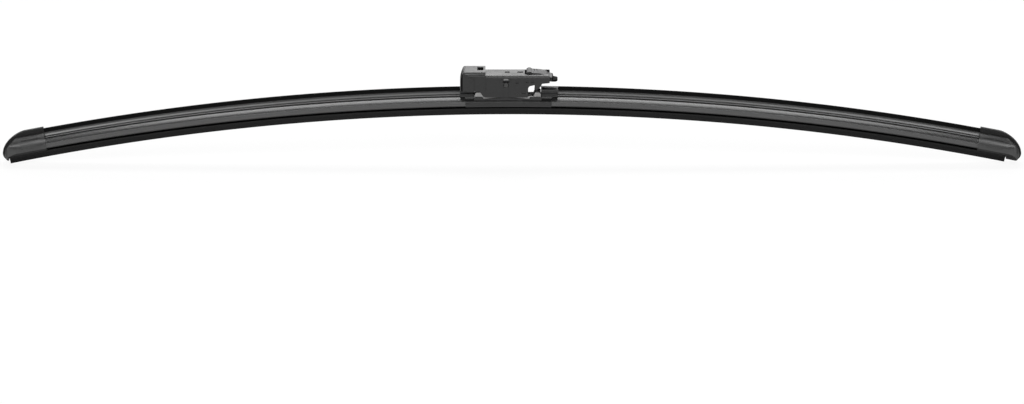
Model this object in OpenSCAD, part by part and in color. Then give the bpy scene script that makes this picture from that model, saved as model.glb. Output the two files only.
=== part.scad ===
// Flat wiper blade, 600 mm class, with a press-button adapter for the arm.
// X runs along the blade, Y across it and Z up towards the arm.
// The origin is the middle of the adapter's flat top, where the arm's channel sits.
// Sections are drawn as [u, h]: u across the blade, h above the middle plane of the rails.

/* [Blade] */
// Length of the blade along its chord, tip to tip
blade_length = 600; // [450:10:700]
// Radius of the bow that the free blade is sprung to
bow_radius = 1475; // [1300:5:2200]
// Height of the arm seat above the middle plane of the rails
seat_rise = 17.65; // [17.4:0.05:19]
// Slack between pieces that are pushed or clipped together
push_fit = 0.1; // [0.05:0.01:0.15]
// Slack between a pin and the bore that turns on it
turn_fit = 0.05; // [0.03:0.01:0.08]

/* [Spring rails] */
// Width of one rail
rail_w = 4.6; // [4.2:0.1:4.8]
// Thickness of one rail
rail_t = 0.9; // [0.7:0.05:1]
// Gap between the rails, which the neck of the rubber passes
rail_gap = 2.4; // [2.2:0.1:2.8]
// Distance from the blade's tip to the rail's end
rail_inset = 9; // [8:0.5:10]
// Length of the locking notches in the rail's outer edge
notch_l = 3; // [2:0.5:4]
// Depth of the locking notches
notch_d = 0.8; // [0.6:0.1:1]
// Distance of a locking notch from the rail's end
notch_inset = 1.5; // [1:0.5:2.5]

/* [Wiping rubber] */
// Width of the head above the rails
head_w = 4.6; // [4.2:0.1:4.8]
// Height of the head
head_t = 1.25; // [1:0.05:1.4]
// Width of the bar below the rails
bar_w = 6.8; // [6:0.1:7]
// Height of the bar
bar_t = 1.4; // [1.2:0.1:1.6]
// Width of the thin web on which the wedge tips over
tip_web_w = 0.9; // [0.6:0.1:1.2]
// Height of the thin web
tip_web_h = 1.4; // [0.8:0.1:1.6]
// Width of the wedge across its shoulders
wedge_w = 5.8; // [5:0.1:6]
// Height of the wedge from shoulder to lip
wedge_h = 4.65; // [4.2:0.05:5.5]
// Width of the lip that touches the glass
lip_w = 0.8; // [0.6:0.1:1]
// Distance from the left tip to the rubber's end
rubber_inset_left = 3.2; // [3.2:0.1:7]
// Distance from the right tip to the rubber's end
rubber_inset_right = 8.6; // [5:0.1:11]

/* [Spoiler] */
// Wall of the claw outside the rails
claw_wall = 1.4; // [1.2:0.1:1.6]
// Thickness of the claw's lip below the rails
claw_lip_t = 0.85; // [0.7:0.05:1]
// Reach of the claw's lip under the rail
claw_lip_reach = 1.1; // [0.8:0.1:1.4]
// Height of the base's upright sides above the rails' middle plane
side_h = 1.75; // [1.4:0.05:1.85]
// Height of the hard base above the rails' middle plane
base_h = 3.5; // [3.4:0.1:3.7]
// Width of the hard base at its top
base_top_w = 5; // [4.6:0.1:5.2]
// Height of the soft fin above the hard base
fin_h = 5.75; // [5:0.05:6]
// Thickness of the fin near its tip
fin_w = 1.6; // [1.4:0.1:1.8]
// Width of the fin's foot
foot_w = 5.2; // [4.8:0.1:5.4]
// Height of the groove between base and fin
groove_h = 0.65; // [0.4:0.05:0.8]
// Depth of the groove between base and fin
groove_d = 0.85; // [0.5:0.05:0.95]
// Distance from the blade's tip to the spoiler's end, inside the end cap
spoiler_inset = 14; // [13.5:0.5:15]

/* [End caps] */
// Length of an end cap
cap_l = 26; // [24:0.5:28]
// Wall of the cap beside the claws and over the fin
cap_wall = 0.6; // [0.5:0.05:0.8]
// Floor of the cap below the claws
cap_floor = 0.85; // [0.7:0.05:1]
// Length of the rounded nose, seen from the side
cap_nose_l = 16; // [13:0.5:18]
// Height by which the ridge stands proud of the cap's flanks
ridge_drop = 2.9; // [2.4:0.1:3.1]
// Width by which the ridge stands proud round the nose
ridge_rim = 1.3; // [0.8:0.1:1.6]
// Depth of the chin below the rails' middle plane
chin_drop = 4.5; // [4:0.1:5]
// Width of the blunt tip, seen from above
cap_tip_w = 6.4; // [5:0.1:8]
// Length of the bare recess in the cap's side
panel_l = 13; // [10:0.5:14]
// Height of the bare recess
panel_h = 4.6; // [3:0.1:4.8]
// Depth of that recess
panel_depth = 0.3; // [0.2:0.05:0.35]

/* [Adapter] */
// Width of the body, which fills the arm's channel
adapter_w = 15.2; // [15:0.1:16]
// Wall of the body's sides and roof
adapter_wall = 1.6; // [1.4:0.1:1.8]
// Right end of the body
body_x1 = 22.2; // [21.8:0.1:22.4]
// Left end of the deep side walls
skirt_x0 = -16.5; // [-17:0.1:-16.2]
// Right end of the deep side walls
skirt_x1 = 9.5; // [9:0.1:9.8]
// Depth of the deep side walls below the seat
skirt_drop = 13.5; // [13:0.1:13.6]
// Left end of the raised nose
nose_x0 = -30.5; // [-31:0.1:-30.2]
// Stop face at the right end of the raised nose
nose_x1 = -15.6; // [-15.9:0.1:-15.2]
// Width of the raised nose
nose_w = 16.6; // [16.2:0.1:17]
// Height of the nose above the seat
nose_rise = 2.1; // [1.6:0.1:2.4]
// Depth of the nose below the seat
nose_drop = 9.8; // [9.4:0.1:10]
// Radius of the pivot pin
pin_r = 1.6; // [1.4:0.1:2]
// Place of the pivot pin along X
pin_x = -3.5; // [-4:0.1:-3]
// Depth of the pivot pin below the seat
pin_drop = 6; // [5.8:0.1:6.2]

/* [Latch] */
// Left end of the raised button
button_x0 = 8.5; // [8.4:0.1:9]
// Right end of the raised button
button_x1 = 16.4; // [15.5:0.1:16.8]
// Height of the button's catch above the seat
button_rise = 1.6; // [1.4:0.1:2]
// Height of the button's ramp above the seat
ramp_rise = 0.85; // [0.7:0.05:1.1]
// Width of the lever
lever_w = 10.2; // [9.6:0.1:10.4]
// Place of the lever's pivot along X
trunnion_x = 20.4; // [20.2:0.1:20.6]
// Depth of the lever's pivot below the seat
trunnion_drop = 3; // [2.8:0.1:3.1]
// Radius of the lever's pivot
trunnion_r = 0.9; // [0.8:0.05:1]
// Right end of the finger tab
tab_x1 = 26.8; // [26:0.1:27]
// Width of the finger tab
tab_w = 10.6; // [10:0.1:12]
// Depth of the finger tab's top below the seat
tab_drop = 3.5; // [3.2:0.1:3.7]
// Diameter of the spring's wire
spring_wire = 0.4; // [0.3:0.05:0.45]
// Outer diameter of the spring
spring_d = 3.6; // [3:0.1:4]
// Place of the spring along X
spring_x = 11.3; // [11:0.1:11.6]
// Turns of the spring
spring_turns = 3; // [2:1:4]

/* [Bracket and base cover] */
// Sheet of the steel bracket
sheet_t = 0.8; // [0.7:0.05:0.9]
// Left end of the bracket
bracket_x0 = -26.5; // [-26.8:0.1:-25]
// Right end of the bracket
bracket_x1 = 18.5; // [18:0.1:20]
// Slack between the ears and the adapter's walls
side_play = 0.4; // [0.3:0.05:0.5]
// Radius of the ears round the pin
ear_r = 3.4; // [3.2:0.1:3.6]
// Left end of the ears at their foot
ear_x0 = -9.5; // [-11:0.1:-9]
// Right end of the ears at their foot
ear_x1 = 5; // [3:0.1:5.2]
// Depth of the top of the bracket's side flanges below the seat
flange_drop = 11; // [10.8:0.1:12]
// Left end of the base cover's skirt
cover_x0 = -27.3; // [-28:0.1:-27]
// Right end of the base cover's skirt
cover_x1 = 23.2; // [22:0.1:24]
// Wall of the skirt
cover_wall = 0.85; // [0.7:0.05:0.95]
// Height of the cover's shoulders above the rails' middle plane
shoulder_h = 2.2; // [2.15:0.01:2.3]
// Left end of the block at the cover's left end
left_block_x0 = -30.3; // [-30.6:0.1:-29]
// Right end of the block at the cover's left end
left_block_x1 = -22; // [-22.5:0.1:-21.5]
// Left end of the block at the cover's right end
right_block_x0 = 17; // [16.6:0.1:18]
// Right end of the block at the cover's right end
right_block_x1 = 26.8; // [26:0.1:27.5]
// Width of the blocks
block_w = 8.8; // [8:0.1:9.2]
// Depth of the right block's top below the seat
right_block_drop = 8.6; // [8.3:0.1:9]

/* [Hidden] */

// Over-run of a cutting shape
over = 1;
// Faces on a full turn of the bow and of the bores
bow_faces = 720;
bore_faces = 48;

spring_z = -seat_rise;
tip_x = blade_length / 2;
rail_x = tip_x - rail_inset;
spoiler_x = tip_x - spoiler_inset;
cap_x = tip_x - cap_l;

rail_fit = push_fit / 2;
rail_in = rail_gap / 2;
rail_out = rail_in + rail_w;
slot_h = rail_t / 2 + rail_fit;

neck_side_fit = 0.15;
head_top = slot_h + head_t;
bar_bottom = -slot_h - bar_t;
shoulder_top = bar_bottom - tip_web_h;
shoulder_edge = 0.6;
lip_h = shoulder_top - wedge_h;

claw_in = rail_out + push_fit;
claw_out = claw_in + claw_wall;
claw_bottom = -slot_h - claw_lip_t;
claw_lip_in = rail_out - claw_lip_reach;
roof_h = head_top + 0.25;
fin_top = base_h + fin_h;

cap_u = claw_out + push_fit + cap_wall;
cap_top = fin_top + push_fit + cap_wall + 0.15;
cap_bottom = claw_bottom - push_fit - cap_floor;
ridge_u = fin_w / 2 + push_fit + cap_wall + 0.1;
nose_foot_h = -1.2;
nose_power = 1.18;
chin_r = 1.6;
cap_plan_l = 9;
cap_waist_h = -1;
flank_top = cap_top - ridge_drop;

// Fixed steps of the housing's outline, from the seat down
jaw_end_drop = 4.7;
jaw_knee = [17, -5.2];
jaw_root = [10.3, -6.6];
lean = 2.6;
hook_x = [13.1, 17.2];
hook_drop = 8.6;
hook_tip = 1.9;
bay_floor = -4.9;
bay_floor_x = 13.8;
bulkhead_x = [6.3, 7.5];
bay_play = 0.3;
bay_half = lever_w / 2 + bay_play;

cavity_half = adapter_w / 2 - adapter_wall;
pin = [pin_x, -pin_drop];
trunnion = [trunnion_x, -trunnion_drop];
lever_under = -1.9;

ear_out = cavity_half - side_play;
ear_in = ear_out - sheet_t;
foot_out = max(rail_out, ear_out + 0.2);
foot_h = slot_h + sheet_t;
web_in = head_w / 2 + 0.3;
hat_h = head_top + 0.45 + sheet_t;
bracket_claw_in = rail_out + rail_fit;
bracket_claw_out = bracket_claw_in + sheet_t;
claw_l = [6, 8];
window_x = [-19.5, 6.5];
window_l = 7;
flange_x0 = left_block_x1 + 3 * push_fit;
flange_x1 = right_block_x0 - push_fit;
dip_x = 12.6;
dip_drop = 13.4;
bracket_claws = [[bracket_x0, bracket_x0 + claw_l[0]], [bracket_x1 - claw_l[1], bracket_x1]];
shoulder_in = ear_out + 0.3;
cover_in = max(bracket_claw_out + push_fit, shoulder_in + 0.85);
cover_u = cover_in + cover_wall;
rock_slope = 0.092;
rim_play = 0.2;
rim_x = [skirt_x0 - 0.1, skirt_x1 + 0.5];
bead_h = shoulder_h + 3.6;
left_block_h = fin_top - 0.1;
fin_gap = [left_block_x0 - push_fit / 2, right_block_x1 + push_fit / 2];
right_block_h = seat_rise - right_block_drop;

// Points on a curve from p to q that bends towards c
function bend(p, c, q, n = 7) =
    [for (i = [0:n]) let (t = i / n) (1 - t) * (1 - t) * p + 2 * t * (1 - t) * c + t * t * q];
function toward(p, q, d) = p + (q - p) * d / norm(q - p);
// A closed outline whose corners are rounded, each by its own cut
function rounded(pts, cuts, n = 5) =
    [for (i = [0:len(pts) - 1])
        let (p = pts[i], a = pts[(i + len(pts) - 1) % len(pts)], b = pts[(i + 1) % len(pts)])
        each cuts[i] > 0 ? bend(toward(p, a, cuts[i]), p, toward(p, b, cuts[i]), n) : [p]];
function flip(pts) = [for (p = pts) [-p[0], p[1]]];
function backwards(pts) = [for (i = [len(pts) - 1:-1:0]) pts[i]];
// A section that is the same on both sides of the blade
function both_sides(pts) = concat(pts, backwards(flip(pts)));
// A section that is open below, with an outer and an inner outline
function channel(outer, inner) = concat(both_sides(outer), flip(inner), backwards(inner));

function bow_angle(x) = asin(x / bow_radius);
// Where a point of the blade, x along and h above the rails, lies in the side view
function bow_point(x, h) =
    let (a = bow_angle(x)) [(bow_radius + h) * sin(a), spring_z + bow_radius * (cos(a) - 1) + h * cos(a)];

// Carries a section along the bow from x0 to x1
module along_bow(x0, x1) {
    a0 = bow_angle(x0);
    a1 = bow_angle(x1);
    translate([0, 0, spring_z - bow_radius])
        rotate([90, 0, 0])
            rotate([0, 0, 90 - a1])
                rotate_extrude(angle = a1 - a0, $fn = bow_faces)
                    translate([bow_radius, 0]) rotate(-90) children();
}

// Extrudes a side view, drawn as [x, z], from y0 to y1
module across(y0, y1) {
    translate([0, y1, 0]) rotate([90, 0, 0]) linear_extrude(y1 - y0) children();
}

// Extrudes a front view, drawn as [y, z], from x0 to x1
module along_x(x0, x1) {
    translate([x0, 0, 0]) rotate([90, 0, 90]) linear_extrude(x1 - x0) children();
}

module bore(place, r, y0, y1) {
    translate([place[0], y1, place[1]])
        rotate([90, 0, 0]) cylinder(r = r, h = y1 - y0, $fn = bore_faces);
}

// Outer outline of the spoiler's hard base, grown by a slack
function base_half(slack) = concat(
    [[claw_lip_in, claw_bottom - slack], [claw_out - 0.3, claw_bottom - slack],
     [claw_out + slack, claw_bottom + 0.3]],
    bend([claw_out + slack, side_h + slack], [claw_out - 2.9, side_h + 0.4 + slack],
         [base_top_w / 2 + slack, base_h + slack], 9));
base_inner = [[claw_lip_in, -slot_h], [claw_in, -slot_h], [claw_in, slot_h],
              [rail_out - 1.3, slot_h], [head_w / 2 + 0.2, roof_h]];

// Outline of the soft fin, grown by a slack
function fin_half(slack) = concat(
    [[foot_w / 2 - groove_d + slack, base_h - slack],
     [foot_w / 2 - groove_d + slack, base_h + groove_h - 0.25],
     [foot_w / 2 + slack, base_h + groove_h]],
    bend([foot_w / 2 - 0.15 + slack, base_h + groove_h + 0.3],
         [fin_w / 2 + 0.3 + slack, base_h + groove_h + 1],
         [fin_w / 2 + slack, fin_top - 1], 12),
    bend([fin_w / 2 + slack, fin_top - fin_w / 3], [fin_w / 2 + slack, fin_top + slack],
         [fin_w / 6, fin_top + slack], 4));

rubber_half = concat(
    bend([lip_w / 2, lip_h], [lip_w / 2 + 0.45, shoulder_top - shoulder_edge - 0.6],
         [wedge_w / 2 - 0.2, shoulder_top - shoulder_edge], 9),
    [[wedge_w / 2, shoulder_top - shoulder_edge + 0.15], [wedge_w / 2, shoulder_top - 0.1],
     [wedge_w / 2 - 0.3, shoulder_top], [tip_web_w / 2, shoulder_top], [tip_web_w / 2, bar_bottom],
     [bar_w / 2 - 0.4, bar_bottom], [bar_w / 2, bar_bottom + 0.4], [bar_w / 2, -slot_h],
     [rail_in - neck_side_fit, -slot_h], [rail_in - neck_side_fit, slot_h], [head_w / 2, slot_h],
     [head_w / 2, head_top - 0.4], [head_w / 2 - 0.4, head_top]]);

module rail(side) {
    color("dimgray") difference() {
        along_bow(-rail_x, rail_x)
            polygon([[side * rail_in, -rail_t / 2], [side * rail_out, -rail_t / 2],
                     [side * rail_out, rail_t / 2], [side * rail_in, rail_t / 2]]);
        for (end = [-1, 1]) rail_notch(side, end);
    }
}

// The notch in a rail's edge into which the end cap's lug drops
module rail_notch(side, end) {
    near = end * (rail_x - notch_inset);
    far = end * (rail_x - notch_inset - notch_l);
    along_bow(min(near, far), max(near, far))
        polygon([[side * (rail_out - notch_d), -rail_t], [side * (rail_out + over), -rail_t],
                 [side * (rail_out + over), rail_t], [side * (rail_out - notch_d), rail_t]]);
}

module rubber_element() {
    color([0.1, 0.1, 0.11])
        along_bow(-tip_x + rubber_inset_left, tip_x - rubber_inset_right)
            polygon(both_sides(rubber_half));
}

module spoiler_base(x0, x1) {
    color([0.3, 0.3, 0.31]) along_bow(x0, x1) polygon(channel(base_half(0), base_inner));
}

module spoiler_fin(x0, x1) {
    color([0.08, 0.08, 0.08]) along_bow(x0, x1) polygon(both_sides(fin_half(0)));
}

// Section of a cap's body below its ridge, shrunk by a skin
function cap_half(skin) = concat(
    [[3, -chin_drop + skin], [cap_u - 1.6 - skin, -chin_drop + skin],
     [cap_u - 1 - skin, -chin_drop + 1], [cap_u - 0.7 - skin, cap_bottom],
     [cap_u - skin, cap_waist_h]],
    bend([cap_u - skin, 1.5], [cap_u - 0.5 - skin, flank_top - 1.6],
         [ridge_u + 1.2, flank_top - 0.15 - skin], 9));
// Section of the ridge, which is a plate along the middle of the cap
ridge_half = concat(
    [[ridge_u / 2, 0.3 - chin_drop], [ridge_u, 0.3 - chin_drop], [ridge_u, cap_top - 0.8]],
    bend([ridge_u - 0.05, cap_top - 0.5], [ridge_u - 0.15, cap_top], [ridge_u - 0.7, cap_top], 4));

// Side view of the right cap up to top_h; its nose stands back from the tip by an inset
function cap_side(chin_x, top_h, inset) = concat(
    [bow_point(cap_x - over, top_h + over)],
    [for (t = [0:5:90])
        bow_point(tip_x - inset - (cap_nose_l - inset) * (1 - pow(sin(t), nose_power)),
                  nose_foot_h + (top_h - nose_foot_h) * pow(cos(t), nose_power))],
    [for (t = [15:15:90])
        bow_point(tip_x - inset - chin_r * (1 - cos(t)), nose_foot_h - (chin_drop + nose_foot_h) * sin(t))],
    [bow_point(chin_x, -chin_drop), bow_point(chin_x, cap_bottom), bow_point(cap_x - over, cap_bottom)]);

// Half of the right cap's plan, which narrows to a blunt tip
cap_plan_half = concat([[cap_x - over, cap_u + over], [tip_x - cap_plan_l, cap_u + 0.05]],
    [for (t = [10:10:90]) [tip_x + 0.6 - (cap_plan_l + 0.6) * (1 - sin(t)),
                           cap_tip_w / 2 + (cap_u + 0.05 - cap_tip_w / 2) * cos(t)]]);
cap_plan = concat(cap_plan_half, backwards([for (p = cap_plan_half) [p[0], -p[1]]]));

module cap_body(chin_x) {
    intersection() {
        along_bow(cap_x, tip_x) polygon(both_sides(cap_half(0)));
        across(-cap_u - over, cap_u + over)
            polygon(cap_side(chin_x, flank_top + ridge_rim, ridge_rim));
        translate([0, 0, spring_z - bow_radius / 4])
            linear_extrude(bow_radius / 4 + seat_rise) polygon(cap_plan);
    }
}

module cap_ridge(chin_x) {
    intersection() {
        along_bow(cap_x, tip_x + over) polygon(both_sides(ridge_half));
        across(-ridge_u - over, ridge_u + over) polygon(cap_side(chin_x, cap_top, 0));
    }
}

// Shallow bare recess that follows the flank of a cap
module cap_recess() {
    x0 = cap_x + 2;
    low = 0.9;
    corners = [bow_point(x0, low), bow_point(x0 + panel_l, low),
               bow_point(x0 + panel_l - 1, low + panel_h), bow_point(x0, low + panel_h)];
    difference() {
        across(-cap_u - over, cap_u + over) polygon(rounded(corners, [1, 1, 1, 1]));
        along_bow(x0 - over, x0 + panel_l + over) polygon(both_sides(cap_half(panel_depth)));
    }
}

// What the rails, the spoiler and the rubber take up inside a cap
module cap_pocket(chin_x) {
    start = cap_x - over;
    along_bow(start, spoiler_x + push_fit) polygon(both_sides(base_half(push_fit)));
    along_bow(start, spoiler_x + push_fit) polygon(both_sides(fin_half(push_fit)));
    along_bow(start, rail_x + push_fit)
        polygon(both_sides([[claw_in, -slot_h], [claw_in, slot_h]]));
    along_bow(start, chin_x)
        polygon(both_sides([[bar_w / 2 + 0.2, -chin_drop - over], [bar_w / 2 + 0.2, -slot_h + 0.2],
                            [head_w / 2 + 0.1, -slot_h + 0.2], [head_w / 2 + 0.1, head_top - 0.3],
                            [head_w / 2 - 0.3, head_top + push_fit]]));
}

// Lugs that drop into the rails' notches and lock the cap
module cap_lugs() {
    x1 = rail_x - notch_inset - push_fit;
    for (side = [-1, 1])
        along_bow(x1 - notch_l + 2 * push_fit, x1)
            polygon([[side * (rail_out - notch_d + push_fit), -slot_h - 0.2],
                     [side * (cap_u - cap_wall / 2), -slot_h - 0.2],
                     [side * (cap_u - cap_wall / 2), slot_h + 0.2],
                     [side * (rail_out - notch_d + push_fit), slot_h + 0.2]]);
}

module end_cap(rubber_inset) {
    chin_x = tip_x - rubber_inset + push_fit;
    color([0.2, 0.2, 0.21]) {
        difference() {
            union() {
                cap_body(chin_x);
                cap_ridge(chin_x);
            }
            cap_pocket(chin_x);
            cap_recess();
        }
        if (rail_x - notch_inset - notch_l > spoiler_x + push_fit) cap_lugs();
    }
}

// Side view of the adapter's body
body_side = rounded(
    [[skirt_x0 - lean, 0], [body_x1, 0], [body_x1, -jaw_end_drop], jaw_knee, jaw_root,
     [skirt_x1, jaw_root[1] - 1.2], [skirt_x1, -skirt_drop], [skirt_x0, -skirt_drop],
     [skirt_x0 - lean, -nose_drop]],
    [0, 0.9, 0.6, 2, 0.7, 0.6, 1, 1, 0.6]);
body_front = rounded(
    [[-adapter_w / 2, -skirt_drop - over], [adapter_w / 2, -skirt_drop - over],
     [adapter_w / 2, 0], [-adapter_w / 2, 0]], [0, 0, 2, 2]);

nose_side = concat(
    bend([nose_x0 + 0.8, -nose_drop], [nose_x0 - 1, -nose_drop / 2], [nose_x0 + 1.2, 0], 8),
    bend([nose_x0 + 1.3, 0.2], [nose_x0 + 1.9, nose_rise], [nose_x0 + 4, nose_rise], 6),
    [[nose_x1, nose_rise], [nose_x1, -nose_drop]]);
nose_front = rounded(
    [[-nose_w / 2, -nose_drop - over], [nose_w / 2, -nose_drop - over],
     [nose_w / 2, nose_rise], [-nose_w / 2, nose_rise]], [0, 0, 2.6, 2.6]);
nose_plan = rounded(
    [[nose_x0 - 0.5, -nose_w / 2 + 0.3], [nose_x1 + over, -nose_w / 2 - 0.5],
     [nose_x1 + over, nose_w / 2 + 0.5], [nose_x0 - 0.5, nose_w / 2 - 0.3]], [5, 0, 0, 5], 8);

module adapter_shell() {
    intersection() {
        across(-adapter_w / 2, adapter_w / 2) polygon(body_side);
        along_x(skirt_x0 - lean - over, body_x1 + over) polygon(body_front);
    }
    intersection() {
        across(-nose_w / 2, nose_w / 2) polygon(nose_side);
        along_x(nose_x0 - over, nose_x1) polygon(nose_front);
        translate([0, 0, -nose_drop - over]) linear_extrude(nose_drop + nose_rise + 2 * over)
            polygon(nose_plan);
    }
}

// The open underside, in which the bracket's ears and the cover's left block rock
module adapter_hollow() {
    below = -skirt_drop - over;
    roof = -adapter_wall;
    nose_roof = nose_rise - 4;
    across(-cavity_half, cavity_half)
        polygon([[nose_x1 - 0.6, below], [nose_x1 - 0.6, nose_roof], [nose_x1, roof],
                 [bulkhead_x[0], roof], [bulkhead_x[0], jaw_root[1] - 0.2],
                 [skirt_x1 + 1.5, jaw_root[1] - 0.2], [skirt_x1 + 1.5, below]]);
    across(-nose_w / 2 + adapter_wall, nose_w / 2 - adapter_wall)
        polygon([[nose_x0 + 1.9, -nose_drop - over], [nose_x0 + 1.9, nose_roof],
                 [skirt_x0 - lean - 0.2, nose_roof], [skirt_x0 - lean - 0.2, -nose_drop - over]]);
    across(-cavity_half, cavity_half)
        polygon([[skirt_x0 - lean - over, below], [skirt_x0 - lean - over, nose_roof],
                 [nose_x1 - 1.8, nose_roof], [nose_x1 - 1.8, below]]);
    arch_half = block_w / 2 + 1;
    arch_top = -nose_drop * 0.6;
    along_x(nose_x0 - over, nose_x0 + 2.5)
        polygon(rounded([[-arch_half, below], [arch_half, below],
                         [arch_half, arch_top], [-arch_half, arch_top]], [0, 0, 1.5, 1.5]));
    rib_gap = -nose_drop + over;
    across(-cavity_half, cavity_half)
        polygon([[nose_x1 - 2, below], [nose_x1 - 2, rib_gap], [nose_x1, rib_gap], [nose_x1, below]]);
}

// The bay of the latch lever, open above and at its right end
module lever_bay() {
    across(-bay_half, bay_half)
        polygon([[bulkhead_x[1], bay_floor], [bay_floor_x, bay_floor], [bay_floor_x, jaw_root[1] - over],
                 [body_x1 + over, jaw_root[1] - over], [body_x1 + over, nose_rise + over],
                 [bulkhead_x[1], nose_rise + over]]);
    trunnion_end = adapter_w / 2 - 0.9;
    for (side = [-1, 1])
        bore(trunnion, trunnion_r + turn_fit, min(side * (bay_half - over), side * trunnion_end),
             max(side * (bay_half - over), side * trunnion_end));
}

// Small dimples in the sides of the housing, as [x, z, width]
dimples = [[3.1, -4.1, 1.8], [8.7, -3.8, 1.7], [12, -3.7, 1.7], [6.9, -10.1, 2.2]];
function dimple_outline(d) = rounded(
    [[d[0] - d[2] / 2, d[1] - d[2] / 2], [d[0] + d[2] / 2, d[1] - d[2] / 2],
     [d[0] + d[2] / 2, d[1] + d[2] / 2], [d[0] - d[2] / 2, d[1] + d[2] / 2]],
    [0.5, 0.5, 0.5, 0.5], 3);

// Pockets in the flat top and in the top of the nose
module top_recesses() {
    pocket_x = [[-4.2, -1.4], [3.2, 6.6]];
    pocket_half = 1.3;
    pocket_depth = 0.9;
    for (x = pocket_x)
        translate([x[0], -pocket_half, -pocket_depth])
            cube([x[1] - x[0], 2 * pocket_half, pocket_depth + over]);
    notch_x = [nose_x1 - 4.8, nose_x1 - 1.2];
    notch_half = 3.5;
    notch_floor = -0.4;
    translate([notch_x[0], -notch_half, notch_floor])
        cube([notch_x[1] - notch_x[0], 2 * notch_half, nose_rise + over - notch_floor]);
}

// Recesses in the sides: the way by which a pin end is sprung in, a slot, the dimples and a seam
module side_recesses() {
    depth = 0.5;
    outer = adapter_w / 2;
    way = pin_r + 0.1;
    slot = [[pin_x - 2, -4.4], [pin_x + 2, -3.65]];
    for (side = [-1, 1]) {
        y0 = side < 0 ? -outer - over : outer - depth;
        y1 = side < 0 ? -outer + depth : outer + over;
        across(y0, y1)
            polygon([[pin_x - way, -skirt_drop - over], [pin_x + way, -skirt_drop - over],
                     [pin_x + way, -pin_drop], [pin_x - way, -pin_drop]]);
        across(y0, y1)
            polygon([slot[0], [slot[1][0], slot[0][1]], slot[1], [slot[0][0], slot[1][1]]]);
        for (d = dimples) across(y0, y1) polygon(dimple_outline(d));
    }
    seam_x = nose_x1 - 6.7;
    seam_w = 0.6;
    seam_depth = 0.4;
    for (side = [-1, 1])
        translate([seam_x, side * nose_w / 2 - (side > 0 ? seam_depth : over), -nose_drop - over])
            cube([seam_w, seam_depth + over, nose_drop - seam_w + over]);
}

// Small raised details on the sides of the housing
module adapter_ribs() {
    proud = 0.45;
    brow_half = 2.9;
    brow_low = -3.6;
    boss = [-24.2, -2.6];
    boss_r = 1.3;
    for (side = [-1, 1]) {
        y0 = side < 0 ? -adapter_w / 2 - proud : adapter_w / 2 - 0.3;
        across(y0, y0 + proud + 0.3)
            polygon(concat(bend([pin_x - brow_half, brow_low], [pin_x, brow_low + 1.6],
                                [pin_x + brow_half, brow_low], 6),
                           bend([pin_x + brow_half, brow_low + 0.7], [pin_x, brow_low + 2.3],
                                [pin_x - brow_half, brow_low + 0.7], 6)));
        n0 = side < 0 ? -nose_w / 2 - 0.4 : nose_w / 2 - 0.3;
        bore(boss, boss_r, n0, n0 + 0.7);
    }
}

// Hooks below the sides of the latch bay
module adapter_hooks() {
    for (side = [-1, 1])
        across(side < 0 ? -adapter_w / 2 : cavity_half, side < 0 ? -cavity_half : adapter_w / 2)
            polygon(rounded([[hook_x[0], -hook_drop], [hook_x[0] + hook_tip, -hook_drop],
                             [hook_x[1], jaw_root[1]], [hook_x[1] + 0.6, jaw_knee[1] + over],
                             [hook_x[0] + 0.4, jaw_knee[1] + over]],
                            [0.5, 0.7, 0.7, 0, 0], 4));
}

module adapter_housing() {
    color([0.22, 0.22, 0.23]) difference() {
        union() {
            adapter_shell();
            adapter_ribs();
            adapter_hooks();
        }
        adapter_hollow();
        lever_bay();
        top_recesses();
        side_recesses();
        bore(pin, pin_r + turn_fit, -nose_w, nose_w);
    }
}

// Side view of the latch lever
catch_x = [button_x0 + 1.2, button_x0 + 2.2];
lever_side = rounded(
    [[button_x0, lever_under], [button_x0, ramp_rise], [catch_x[0], button_rise],
     [catch_x[1], button_rise], [catch_x[1] + 1.2, ramp_rise], [button_x1, ramp_rise - 0.3],
     [trunnion_x - 0.6, -0.05], [body_x1 + 0.1, -1.6], [tab_x1 - 2.8, -2], [tab_x1 - 2.6, -tab_drop],
     [tab_x1, -tab_drop - 0.1], [tab_x1, -4.6], [tab_x1 - 1.5, -4.8], [trunnion_x + 2.6, -4.4],
     [trunnion_x + 0.9, -trunnion_drop - trunnion_r - 0.3],
     [trunnion_x - 0.9, -trunnion_drop - trunnion_r - 0.3], [button_x1 + 0.6, lever_under]],
    [0.3, 0.3, 0.4, 0.4, 0.4, 0.8, 0.8, 0.5, 0.5, 0.3, 0.4, 0.4, 0.4, 0.4, 0.6, 0.6, 0.6]);
lever_plan = rounded(
    [[button_x0 - over, -lever_w / 2], [body_x1 + 0.4, -lever_w / 2], [body_x1 + 0.8, -tab_w / 2],
     [tab_x1 + 0.02, -tab_w / 2 + 2], [tab_x1 + 0.02, tab_w / 2 - 2], [body_x1 + 0.8, tab_w / 2],
     [body_x1 + 0.4, lever_w / 2], [button_x0 - over, lever_w / 2]],
    [0, 0.1, 0.2, 1.6, 1.6, 0.2, 0.1, 0]);

module latch_lever() {
    grip = [0.6, 0.3];
    grip_x = [catch_x[1] + 2.1, catch_x[1] + 3.6];
    color([0.07, 0.07, 0.07]) difference() {
        union() {
            intersection() {
                across(-tab_w / 2, tab_w / 2) polygon(lever_side);
                translate([0, 0, -seat_rise / 2]) linear_extrude(seat_rise) polygon(lever_plan);
            }
            trunnion_half = adapter_w / 2 - 1.1;
            bore(trunnion, trunnion_r, -trunnion_half, trunnion_half);
        }
        for (x = grip_x)
            translate([x, -lever_w / 2 + 1.2, ramp_rise - 0.2 - grip[1]])
                cube([grip[0], lever_w - 2.4, grip[1] + over]);
    }
}

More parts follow.
